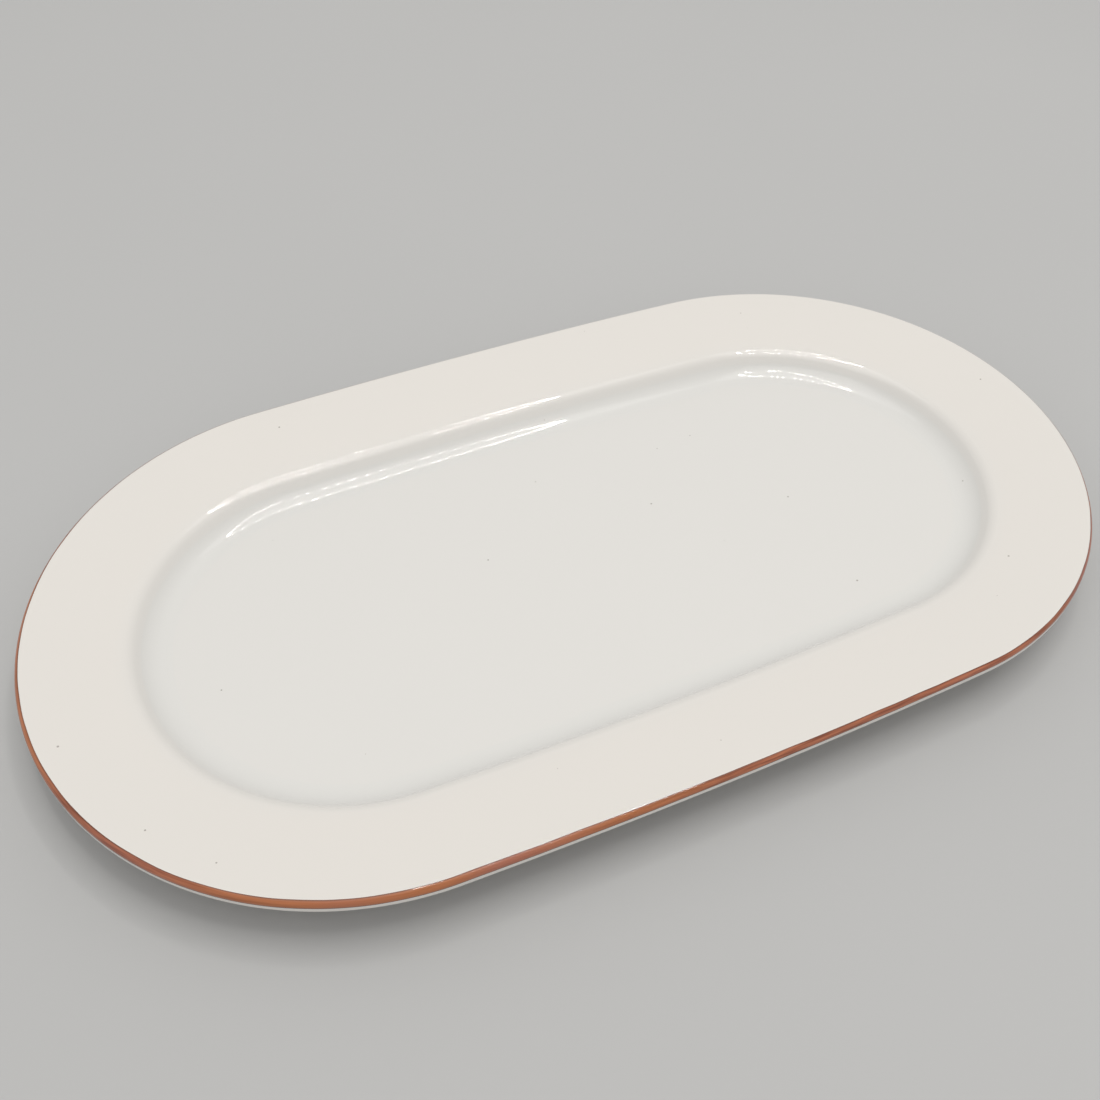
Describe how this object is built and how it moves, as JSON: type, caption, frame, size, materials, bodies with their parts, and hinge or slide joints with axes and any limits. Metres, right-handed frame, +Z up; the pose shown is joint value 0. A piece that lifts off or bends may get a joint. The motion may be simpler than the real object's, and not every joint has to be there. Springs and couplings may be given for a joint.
{
  "type": "serving platter",
  "caption": "Oblong china serving platter: wide, gently sloping rim with a russet edge band, shallow round-ended well and a foot ring.",
  "frame": {"origin": "middle of the flat plane that the foot ring rests on", "axes": "+X along the platter, +Y across it, +Z up out of the well"},
  "size_m": [0.357, 0.2, 0.0205],
  "materials": {
    "bare_china": "unglazed, polished matt",
    "white_glaze": "clear glossy glaze over warm white china",
    "russet_band": "glossy russet brown ceramic colour, brushed on and fired"
  },
  "bodies": {
    "root": {"china_body": "bare_china", "top_glaze": "white_glaze", "underside_glaze": "white_glaze", "recess_glaze": "white_glaze", "edge_band": "russet_band"}
  },
  "joints": []
}
